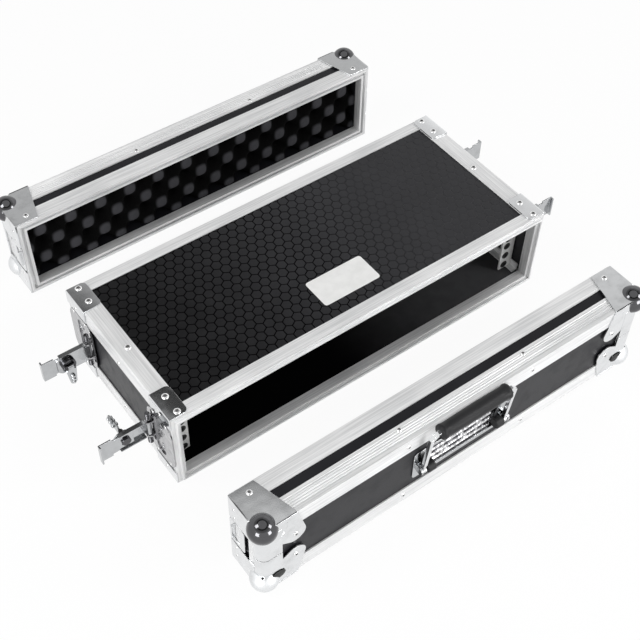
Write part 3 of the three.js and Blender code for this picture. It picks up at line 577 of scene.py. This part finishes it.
brace_face = half_height + plate_skin
brace_rivets = [
    rivet((east * (half_width - brace_rivet_inset), north * at, middle + up * brace_face),
          (0, 0, up), rivet_radius)
    for east, north, up in signs for at in brace_rivets_at]
side_level = half_height - side_rivet_down
side_rivets = [
    rivet((east * (half_width + plate_skin), north * side_rivet_at, middle + up * side_level),
          (east, 0, 0), small_rivet)
    for east, north, up in signs]
angle_rivets = [
    rivet((east * (half_width - angle_rivet_inset), 0, middle + up * half_height), (0, 0, up),
          rivet_radius)
    for east in (-1, 1) for up in (-1, 1)]
end_rivets = [
    rivet((east * half_width, north * end_rivet_off, middle + up * (half_height - end_rivet_down)),
          (east, 0, 0), small_rivet)
    for east in (-1, 1) for north, up in ((-1, 1), (1, -1))]
riveted("body_rivets", brace_rivets + side_rivets + angle_rivets + end_rivets, "case_body")


# Rack rails. Angles of zinc plated steel, riveted in behind both openings, with a row of round
# holes at the heights that rack equipment needs.
zinc_plate = plated("zinc_plate", (0.86, 0.86, 0.85), 0.40, 0.16, 0.3)


def refined(node, finish, body, ease=0.3 * mm, smooth=30):
    """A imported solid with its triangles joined, its flat faces made whole and its edges eased."""
    work = bmesh.new()
    work.from_mesh(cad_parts[node].data)
    bmesh.ops.remove_doubles(work, verts=work.verts, dist=merge_packed)
    bmesh.ops.dissolve_limit(work, verts=work.verts, edges=work.edges, angle_limit=flat_within)
    bmesh.ops.recalc_face_normals(work, faces=work.faces)
    mesh = bpy.data.meshes.new(node)
    work.to_mesh(mesh)
    work.free()
    mesh.materials.clear()
    mesh.materials.append(finish)
    made = bpy.data.objects.new(f"{node}_eased", mesh)
    return fitted(made, body, smooth, ease, [node])


for end in ("front", "rear"):
    for side in ("left", "right"):
        refined(f"{end}_{side}_rack_rail", zinc_plate, "case_body", 0.25 * mm)


# Collars in the rails' screw holes, six to a rail. Turned in black plastic, with a rounded flange
# on the rail's face and a short neck pressed into the hole.
rail_face, rail_hole, rack_unit = 83 * mm, 232.55 * mm, 44.45 * mm
hole_levels = [unit * rack_unit + at * mm for unit in (-1, 0) for at in (6.35, 22.225, 38.1)]
collar_black, collar_place = surface("collar_black", (0.006, 0.006, 0.006), 0.5)
scuff = collar_place.noise(400, 4)
feed(collar_black, base_color=scuff.between((0.004, 0.004, 0.004), (0.014, 0.014, 0.014)),
     roughness=0.4 + 0.25 * scuff)
collar = np.array([
    (0, -1.9), (3.2, -1.9), (3.2, 0), (5.0, 0.05), (4.8, 0.6), (3.2, 0.8), (2.4, 0.3), (2.2, -1.2),
    (0, -1.2)])
collars = [
    aimed(turned(collar * mm), (east * rail_hole, north * rail_face, middle + level), (0, north, 0))
    for east in (-1, 1) for north in (-1, 1) for level in hole_levels]
piece("rail_hole_collars", collars, collar_black, "case_body", smooth=40)


# Butterfly latches. Bright plated steel pressings on a dished plate that is riveted to the end
# of the case. An arm swings on a pin, and a wing turns a dark cam on the arm's face, which draws a
# hook in. The die cast wing has a row of three round studs for the fingers on both its faces.
latch_nickel = plated("latch_nickel", (0.52, 0.53, 0.54), 0.12, 0.14)
cam_black = plated("cam_black", (0.10, 0.10, 0.105), 0.16, 0.2)
dish_plate = plated(
    "dish_plate", (0.42, 0.42, 0.43), 0.10, 0.14, wave_scale=95, wave_high=1.1 * mm)
latch_out, wing_root, wing_half = 289.2 * mm, 54.9 * mm, 2.2 * mm
stud_row = ((14 * mm, 2.7 * mm), (19.5 * mm, 2.4 * mm), (24.5 * mm, 2.0 * mm))
stud = np.array([(0, -0.5), (1.0, -0.5), (1.0, 0.1), (0.8, 0.45), (0.42, 0.62), (0, 0.68)])
for end, north in (("front", -1), ("rear", 1)):
    for side, east in (("left", -1), ("right", 1)):
        latch = f"{end}_{side}_latch"
        refined(f"{latch}_dish", dish_plate, "case_body", 0.35 * mm)
        for part in ("arm", "hook", "cam", "wing"):
            finish = cam_black if part == "cam" else latch_nickel
            refined(f"{latch}_{part}", finish, f"{latch}_{part}_body", 0.3 * mm)
        root = np.array([east * latch_out, north * wing_root, middle])
        raised, hanging = [(0, 1, 0), (1, 0, 0)], [(0, 0, -1), (0, 1, 0)]
        along_wing, face = np.array(raised if north < 0 else hanging)
        studs = [
            aimed(turned(stud * radius), root + along_wing * at + face * turn * wing_half,
                  face * turn)
            for turn in (-1, 1) for at, radius in stud_row]
        piece(f"{latch}_wing_studs", studs, latch_nickel, f"{latch}_wing_body", smooth=50)


# Springs, bosses and rivets of the latch dishes. Dark steel torsion springs are wound on the arm's
# pin above and below the arm. The pressed plate has two round bosses and is held by four small pop
# rivets in the end board.
hinge_out, hinge_along, spring_level, spring_coils = 261.2 * mm, 65 * mm, 21 * mm, 7
spring_half, spring_radius, wire = 4.5 * mm, 2.5 * mm, 0.45 * mm
coil = np.arange(2 * spring_coils + 1)
wound = np.stack([
    spring_radius + wire * (coil % 2), spring_half * (coil / spring_coils - 1)], -1)
spring = np.concatenate([[(0, -spring_half)], wound, [(0, spring_half)]])
boss = mm * np.array([
    (0, -0.2), (5, -0.2), (4.6, 0.4), (3.4, 0.9), (2.2, 1.0), (1.8, 0.3), (0, 0.2)])
boss_along, boss_level, dish_rivet_level, dish_rivet_radius = (
    85 * mm, 16 * mm, 33.5 * mm, 2.2 * mm)
dish_proud, dish_rivets_along = 1.5 * mm, (72 * mm, 97 * mm)
springs, bosses, dish_rivets = [], [], []
for east, north, up in signs:
    springs.append(aimed(
        turned(spring), (east * hinge_out, north * hinge_along, middle + up * spring_level),
        (0, 0, 1)))
    bosses.append(aimed(
        turned(boss), (east * half_width, north * boss_along, middle + up * boss_level), (east, 0, 0)))
    dish_rivets += [
        rivet((east * (half_width + dish_proud), north * along, middle + up * dish_rivet_level),
              (east, 0, 0), dish_rivet_radius)
        for along in dish_rivets_along]
piece("latch_springs", springs, cam_black, "case_body", smooth=50)
piece("latch_dish_bosses", bosses, dish_plate, "case_body", smooth=50)
riveted("latch_dish_rivets", dish_rivets, "case_body")


# Lids. Shallow boxes of the same board, with a grooved closing frame that takes the body's
# tongue and a fluted angle round the outer face. They lift away from the body.
lid_deep, lid_flange, lid_groove, lid_web = 54 * mm, 20 * mm, 4.9 * mm, 6.2 * mm
groove_from, groove_to = 3.6 * mm, 7.2 * mm
closing_planes = {"front": (-213 * mm, -1), "rear": (227.5 * mm, 1)}
groove_section = [
    (0, 0), (0, lid_flange), (wall, lid_flange), (wall, lid_web), (inner_corner, lid_web),
    (inner_corner, inner_flange), (band, inner_flange), (band, 0), (groove_to, 0),
    (groove_to, lid_groove), (groove_from, lid_groove), (groove_from, 0)]
for end, (plane, outward) in closing_planes.items():
    lid = f"{end}_lid"
    closing_frame(f"{lid}_closing_frame", groove_section, plane, outward, lid)
    refined(f"{lid}_outer_frame", drawn_x, lid, 0.5 * mm, smooth=20)
    for board in ("walls", "face_panel"):
        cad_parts[f"{lid}_{board}"].data.materials.clear()
        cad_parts[f"{lid}_{board}"].data.materials.append(board_black)
    for side in ("left", "right"):
        refined(f"{lid}_strike_{side}", chrome, lid, 0.3 * mm)


# Ball corners. Pressed and plated steel: a hollow ball over each outer corner of a lid, with plates
# on its three faces, an ear and a column, riveted to the angles. The upper balls are coloured dark
# as a painted reflection of the dark room they mirror, beside a rolled bead, and the lower ones are
# satin, each with a black lens of painted shade.
ball_radius, ball_inset, ball_proud, edge_round = 15.5 * mm, 10.5 * mm, 3.2 * mm, 9 * mm
ball_end_share, cap_turn = 0.45, math.radians(57)
plate_gap, clipped = 0.3 * mm, 15.7 * mm


def ball_patch(rings=22, sectors=72):
    """The part of a ball that stands clear of a lid's corner, as a grid round the diagonal.

    A point is the radius times (cos f along the diagonal plus sin f across it at the angle t).
    The grid ends a little under the nearest face, or at the cap's turn if that is further. There f
    is atan(B / A) plus acos(c over the root of A A + B B), where A is the diagonal's and B the
    cross direction's part towards that face, and c the end's, as a share of the radius.
    """
    t = np.linspace(0, 2 * math.pi, sectors, endpoint=False)
    first, second = np.array([2, -1, -1]) / math.sqrt(6), np.array([0, 1, -1]) / math.sqrt(2)
    across = np.cos(t)[:, None] * first + np.sin(t)[:, None] * second
    most = across.max(axis=1)
    share = ball_end_share + plate_gap / ball_radius
    to_face = np.arctan2(most, 1 / math.sqrt(3)) + np.arccos(
        np.minimum(share / np.sqrt(1 / 3 + most ** 2), 1))
    ends = np.maximum(to_face, cap_turn)
    f = np.linspace(0, 1, rings)[1:, None] * ends
    points = np.cos(f)[..., None] / math.sqrt(3) + np.sin(f)[..., None] * across
    pole = np.full((1, 3), 1 / math.sqrt(3))
    grid, faces = swept(points)
    faces = faces[:-2] + [[len(grid), i, (i + 1) % sectors] for i in range(sectors)]
    return np.concatenate([grid, pole]) * ball_radius, faces


def at_corner(form, lid, side, level):
    """Moves a form from distances inward of the end, the outer face and the top to its lid."""
    plane, outward = closing_planes[lid]
    points, faces = form
    corner = [side * half_width, plane + outward * lid_deep, middle + level * half_height]
    return points * [-side, -outward, -level] + corner, faces


top_near, top_far, column_wide, column_wrap = 28 * mm, 42 * mm, 24 * mm, 11 * mm
plate_depth, plate_round, lap = lid_deep - 1.5 * mm, 1.2 * mm, 2 * mm
ear_across, ear_down, ear_radius, end_plate_down = 39 * mm, 35.5 * mm, 13 * mm, 34 * mm
ear_foot, ear_thinner, column_from = 41 * mm, 0.2 * mm, 12 * mm
skin = (-plate_skin, -plate_gap)


def bow(centre, radius, start, stop, steps=14):
    """Points on an arc: the centre plus the radius times (cos a, sin a), from start to stop."""
    a = np.radians(np.linspace(start, stop, steps))
    return np.asarray(centre) + radius * np.stack([np.cos(a), np.sin(a)], -1)


top_plate = prism("z", eased([
    (skin[0], clipped - skin[0]), (clipped - skin[0], skin[0]), (top_far, skin[0]), (top_far, mm),
    (top_near, plate_depth), (skin[0], plate_depth)], plate_round), skin)
end_plate = prism("x", eased([
    (clipped - skin[0], skin[0]), (plate_depth, skin[0]), (plate_depth, end_plate_down),
    (column_wrap + play, end_plate_down), (column_wrap + play, clipped - column_wrap + lap)],
    plate_round), skin)
ear_outline = np.concatenate([
    [(clipped - skin[0], skin[0]), (ear_across + ear_radius / 4, skin[0])],
    bow((ear_across, ear_down), ear_radius, -15, 110),
    [(column_wide, ear_foot), (column_wide / 2, ear_foot), (column_wide / 2, 2 * lap)]])
ear_plate = prism("y", ear_outline, (ear_thinner - plate_skin, -plate_gap))
outer_bow = bow((edge_round, edge_round), edge_round + plate_skin, 180, 270)
inner_bow = bow((edge_round, edge_round), edge_round + plate_gap, 270, 180)
column_outline = np.concatenate([
    [(skin[0], column_wrap)], outer_bow, [(column_wide, skin[0]), (column_wide, skin[1])],
    inner_bow, [(skin[1], column_wrap)]])
column = prism("z", column_outline, (column_from, half_height - plate_gap))
ball_points, ball_faces = ball_patch()
# Painted reflection: the upper balls' plating is coloured dark for the dark room that they mirror; the
# lower balls keep a light satin plating.
ball_plate = plated("ball_plate", (0.11, 0.11, 0.115), 0.09, 0.04)
low_ball_plate = plated("low_ball_plate", (0.80, 0.81, 0.82), 0.42, 0.1)
shade_lens = np.array([
    (0, -1.98), (0.7, -1.8), (1.0, -0.36), (0.86, 0.45), (0.5, 0.81), (0, 0.9)])
opening_wide, opening_high = 9.2 * mm, 6 * mm
opening_place = np.array([17.5, -2.9, 18]) * mm
bead_steps, bead_sides = 30, 8
bead_turn = np.radians(np.linspace(4, -70, bead_steps))
bead_circle = np.linspace(0, 2 * math.pi, bead_sides, endpoint=False)
bead_radius, bead_thick, bead_proud = 23 * mm, 0.6 * mm, 1.4 * mm
bead_reach = bead_radius + bead_thick * np.cos(bead_circle)
bead_centre = ball_inset - ball_proud
bead = swept(np.stack([
    bead_centre + bead_reach * np.cos(bead_turn)[:, None],
    np.broadcast_to(bead_thick * np.sin(bead_circle) - bead_proud, (bead_steps, bead_sides)),
    bead_centre - bead_reach * np.sin(bead_turn)[:, None]], -1))
for end in closing_planes:
    for side, east in (("left", -1), ("right", 1)):
        for level, up in (("top", 1), ("bottom", -1)):
            node = f"{end}_lid_corner_{level}_{side}"
            forms = (top_plate, end_plate, ear_plate, column, bead)[:5 if up > 0 else 4]
            plates = [at_corner(form, end, east, up) for form in forms]
            piece(f"{node}_plates", plates, chrome, f"{end}_lid", smooth=25,
                  ease=0.35 * mm, stands_for=[node])
            proud = [ball_proud, ball_proud * (end == "front"), ball_proud * (up > 0)]
            ball = (ball_inset - np.array(proud) - ball_points, ball_faces)
            shell = piece(f"{node}_ball", [at_corner(ball, end, east, up)],
                          ball_plate if up > 0 else low_ball_plate, f"{end}_lid", smooth=80)
            bowl = shell.modifiers.new("pressed sheet", "SOLIDIFY")
            bowl.thickness, bowl.offset = mm, -1
            # Painted shade: each lower ball gets a flat black lens for the dark of its opening.
            if up < 0:
                points, faces = turned(shade_lens, 32)
                shaped = points[:, [0, 2, 1]] * [opening_wide, -mm, opening_high] + opening_place
                piece(f"{node}_opening", [at_corner((shaped, faces), end, east, up)], collar_black,
                      f"{end}_lid", smooth=60)


# Rivets of the lids. The same pop rivets in four sizes hold the corner plates and their ears, and
# the fluted outer angle to the boards.
plate_rivet_in, plate_rivet_deep, ear_rivet_in, ear_rivet_down = (
    17 * mm, 43 * mm, 40 * mm, 36 * mm)
end_rivets_down, flute_rivets_at, flute_rivet_deep, flange_rivet_down = (
    (12 * mm, 27 * mm), (-76 * mm, 92 * mm), 17 * mm, 11 * mm)
plate_rivet, ear_rivet, end_rivet, angle_rivet = 3.4 * mm, 3.2 * mm, 1.9 * mm, 3 * mm


def lid_rivets(end):
    """Rivets of one lid: on the corner plates and ears, and along the outer angles."""
    plane, outward = closing_planes[end]
    outer, made = plane + outward * lid_deep, []
    for east, up in ((-1, 1), (1, 1), (-1, -1), (1, -1)):
        x, z = east * half_width, middle + up * half_height
        deep = outer - outward * plate_rivet_deep
        made.append(rivet(
            (x - east * plate_rivet_in, deep, z + up * plate_skin), (0, 0, up), plate_rivet))
        made.append(rivet(
            (x - east * ear_rivet_in, outer + outward * plate_skin, z - up * ear_rivet_down),
            (0, outward, 0), ear_rivet))
        for down in end_rivets_down:
            made.append(rivet((x + east * plate_skin, deep, z - up * down), (east, 0, 0), end_rivet))
    for x in flute_rivets_at:
        for up in (-1, 1):
            made.append(rivet(
                (x, outer - outward * flute_rivet_deep, middle + up * half_height), (0, 0, up),
                angle_rivet))
            made.append(rivet(
                (x, outer, middle + up * (half_height - flange_rivet_down)), (0, outward, 0),
                angle_rivet))
    return made


for end in closing_planes:
    riveted(f"{end}_lid_rivets", lid_rivets(end), f"{end}_lid")


# Foam. A sheet of dark open cell foam cut in an egg-crate form, glued inside each lid to hold
# the equipment away from it. Its tips are painted lighter and its hollows nearly black, for the
# light on the tips and the shade between them.
foam_base, foam_peak, bumps_along, bumps_up = 12 * mm, 32 * mm, 12, 2
face_inset, board_thick = 1.8 * mm, 7 * mm
foam_back = lid_deep - face_inset - board_thick - play
foam_side, foam_half = half_width - band - play, half_height - band - play


def sheet(front, back):
    """A closed body between two grids of points of the same size, joined round their rims."""
    rows, count = front.shape[:2]
    a = (np.arange(rows - 1)[:, None] * count + np.arange(count - 1)).ravel()
    quads = np.stack([a, a + 1, a + count + 1, a + count], -1)
    rim = np.concatenate([
        np.arange(count), np.arange(1, rows) * count + count - 1,
        (rows - 1) * count + np.arange(count - 2, -1, -1), np.arange(rows - 2, 0, -1) * count])
    onward, shift = np.roll(rim, -1), rows * count
    sides = np.stack([rim, onward, onward + shift, rim + shift], -1)
    faces = np.concatenate([quads, quads[:, ::-1] + shift, sides]).tolist()
    return np.concatenate([front.reshape(-1, 3), back.reshape(-1, 3)]), faces


def egg_crate(steps=20):
    """Staggered blunt bumps: the sheet is base + (peak - base) (1 - (1 - q) squared) thick.

    Here q is (1 + cos 2 pi i cos 2 pi j) / 2 for bump counts i and j across and up the sheet.
    """
    i = np.linspace(0, bumps_along, bumps_along * steps + 1)
    j = np.linspace(0, bumps_up, bumps_up * steps + 1)
    across, up = np.meshgrid(i, j)
    q = (1 + np.cos(2 * math.pi * across) * np.cos(2 * math.pi * up)) / 2
    thick = foam_base + (foam_peak - foam_base) * (1 - (1 - q) ** 2)
    x = foam_side * (2 * across / bumps_along - 1)
    z = foam_half * (2 * up / bumps_up - 1)
    return sheet(
        np.stack([x, foam_back - thick, z], -1), np.stack([x, np.full_like(x, foam_back), z], -1))


foam_dark, foam_place = surface("open_cell_foam", (0.02, 0.02, 0.022), 0.95, Specular_Ior_Level=0.06)
cells = foam_place.noise(1300, 3)
coarse = foam_place.noise(90, 4)
# Painted light: the colour rises from near black in the hollows to lighter on the tips, by their
# height.
tip = foam_place.node("ShaderNodeAttribute", {"attribute_name": "tip"}, None, "Fac").eased(0.83, 0.98)
feed(foam_dark,
     base_color=(tip * (0.6 + 0.5 * cells + 0.3 * coarse)).between(
         (0.003, 0.003, 0.003), (0.062, 0.062, 0.068)),
     roughness=0.88 + 0.1 * cells,
     height=(cells * 0.8 + coarse * 0.2, 0.5 * mm))
for end, (plane, outward) in closing_planes.items():
    points, faces = egg_crate()
    placed = points * [1, outward, 1] + [0, plane, middle]
    foam = piece(f"{end}_egg_crate_foam", [(placed, faces)], foam_dark, f"{end}_lid",
                 smooth=70, stands_for=[f"{end}_lid_foam"])
    place = np.empty(3 * len(foam.data.vertices))
    foam.data.vertices.foreach_get("co", place)
    thick = foam_back - outward * (place[1::3] - plane)
    shares = (thick - foam_base) / (foam_peak - foam_base)
    foam.data.attributes.new("tip", "FLOAT", "POINT").data.foreach_set("value", shares)


# Carrying handle. A plated bail with a moulded rubber grip, sprung flat against a pressed dish
# that is riveted to the middle of the front lid.
handle_pivot = np.array([0, -271.4, 53]) * mm
bail_reach, grip_out = 64 * mm, 6.1 * mm
handle_lean = math.asin(grip_out / bail_reach)
grip_half = 46 * mm
grip_rubber = laminate("grip_rubber", (0.012, 0.012, 0.013), (0.022, 0.022, 0.023), 0.42)
refined("handle_dish", latch_nickel, "front_lid", 0.35 * mm)
refined("handle_bail", chrome, "carrying_handle", 0.7 * mm)
from_end = np.array([0, 0, 1.2, 3.4, 4.6, 6.5, 12, 24, 38, 46]) * mm
swell = np.array([0, 7.3, 8.7, 8.9, 8.7, 8.0, 8.1, 8.3, 8.5, 8.5]) * mm
profile = np.concatenate([
    np.stack([swell, from_end - grip_half], -1), np.stack([swell, grip_half - from_end], -1)[-2::-1]])
grip_place = handle_pivot + bail_reach * np.array([0, -math.sin(handle_lean), math.cos(handle_lean)])
piece("moulded_handle_grip", [aimed(turned(profile, 40), grip_place, (1, 0, 0))], grip_rubber,
      "carrying_handle", smooth=50, stands_for=["handle_grip"])


# The handle's ribs and bushings. Three long ribs and two cross ribs are pressed into the floor of
# the plated dish to stiffen it, and black rubber bushings sit on the pins at its ends.
rib_levels, rib_half, rib_wide, rib_high = np.array([46.5, 56, 66]) * mm, 41 * mm, 2.4 * mm, 3 * mm
cross_out, cross_wide, cross_share, rib_seat = 24 * mm, 3 * mm, 0.8, 0.3 * mm
pan_half, pan_low, pan_high, pan_face = 49.4 * mm, 42.6 * mm, 76.4 * mm, -262.4 * mm
x, z = np.meshgrid(np.linspace(-pan_half, pan_half, 180), np.linspace(pan_low, pan_high, 90))
past_end = np.maximum(np.abs(x) - rib_half, 0)
away = np.hypot(past_end[..., None], z[..., None] - rib_levels)
ridge = np.exp(-(away / rib_wide) ** 2).sum(-1)
cross = np.exp(-((np.abs(x) - cross_out) / cross_wide) ** 2)
rise_out = rib_high * np.maximum(ridge, cross_share * cross)
pressed = sheet(
    np.stack([x, pan_face - rise_out, z], -1),
    np.stack([x, np.full_like(x, pan_face + rib_seat), z], -1))
# Painted light: the pressed floor is coloured near black in its hollows as painted shade and bright on
# the proud ribs as a painted highlight, and noise adds bright patches of painted reflection.
pan_plate, pan_place = surface("pan_plate", (0.40, 0.40, 0.41), 0.12, 1.0)
proud = (pan_place.part("Y") * -1).eased(-pan_face + 1.0 * mm, -pan_face + 2.5 * mm)
blotch_and_glint = pan_place.noise(110, 3)
feed(pan_plate,
     base_color=(proud * (0.3 + blotch_and_glint) + blotch_and_glint.eased(0.52, 0.66) * 0.5).between(
         (0.04, 0.04, 0.045), (0.70, 0.70, 0.71)),
     roughness=0.08 + 0.2 * blotch_and_glint,
     height=(blotch_and_glint, 0.9 * mm))
piece("handle_dish_ribs", [pressed], pan_plate, "front_lid", smooth=60)
bush = np.array([(0, -5), (5.8, -5), (6.6, -4.2), (6.6, 4.2), (5.8, 5), (0, 5)]) * mm
bush_out = 47.5 * mm
bushings = [
    aimed(turned(bush, 32), handle_pivot + [east * bush_out, 0, 0], (1, 0, 0)) for east in (-1, 1)]
piece("handle_bushings", bushings, grip_rubber, "front_lid", smooth=40)


# Label. A blank piece of white vinyl film with rounded corners, stuck by its own adhesive on the
# top board, in the middle and near the front edge.
label_half, label_round = np.array([38.2, 20]) * mm, 4 * mm
label_thick, label_sunk = 0.25 * mm, 0.05 * mm
label_centre = np.array([1.2, -54.6]) * mm
label_white, label_place = surface("white_vinyl", (0.8, 0.8, 0.79), 0.4)
faint = label_place.noise(70, 4)
feed(label_white, base_color=faint.eased(0.3, 0.7).between((0.76, 0.76, 0.75), (0.83, 0.83, 0.82)),
     roughness=0.36 + 0.1 * faint, height=(label_place.noise(900, 2), 0.02 * mm))
label_corners = np.array([(-1, -1), (1, -1), (1, 1), (-1, 1)]) * label_half + label_centre
board_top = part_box("top_panel")[1][2]
label_ends = (board_top - label_sunk, board_top + label_thick)
piece("blank_label", [prism("z", eased(label_corners, label_round, 8), label_ends)], label_white,
      "case_body", smooth=30)
